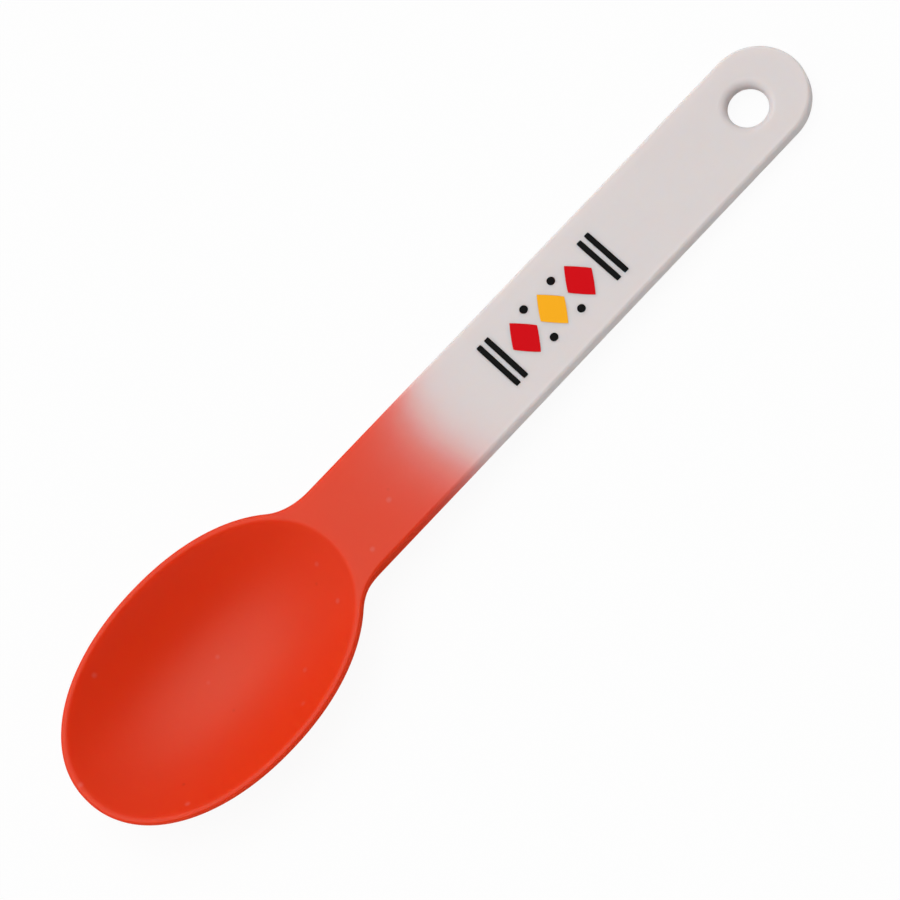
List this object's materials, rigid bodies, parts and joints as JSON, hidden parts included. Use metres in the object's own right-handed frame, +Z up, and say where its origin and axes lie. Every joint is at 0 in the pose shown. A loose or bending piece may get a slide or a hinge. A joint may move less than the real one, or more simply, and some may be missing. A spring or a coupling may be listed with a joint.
{
  "type": "plastic spoon",
  "caption": "Moulded plastic spoon with a wide oval bowl, a flat round-ended handle with a hanging hole, an orange bowl fading into a white handle, and a small geometric print.",
  "frame": {"origin": "on the surface that the spoon lies on, under the middle of its bounding box", "axes": "+X along the spoon from the bowl's tip to the handle's end, +Y across it, +Z up; the spoon lies on its bowl's back and its handle's end, so the rim and the handle slope down by about 3 degrees towards +X"},
  "size_m": [0.15, 0.0348, 0.0099],
  "materials": {
    "coloured_plastic": "satin moulded polypropylene, orange red where the colour-change pigment is cold",
    "white_plastic": "satin moulded polypropylene, warm white",
    "black_ink": "thin printed ink",
    "red_ink": "thin printed ink",
    "yellow_ink": "thin printed ink"
  },
  "bodies": {
    "root": {"bowl": "coloured_plastic", "neck": "coloured_plastic", "handle": "white_plastic", "hanging_end": "white_plastic", "print_yellow_diamond": "yellow_ink", "print_red_diamond_bowl_side": "red_ink", "print_red_diamond_end_side": "red_ink", "print_black_bar_inner_bowl_side": "black_ink", "print_black_bar_outer_bowl_side": "black_ink", "print_black_bar_inner_end_side": "black_ink", "print_black_bar_outer_end_side": "black_ink", "print_black_dot_left_bowl_side": "black_ink", "print_black_dot_right_bowl_side": "black_ink", "print_black_dot_left_end_side": "black_ink", "print_black_dot_right_end_side": "black_ink"}
  },
  "joints": []
}
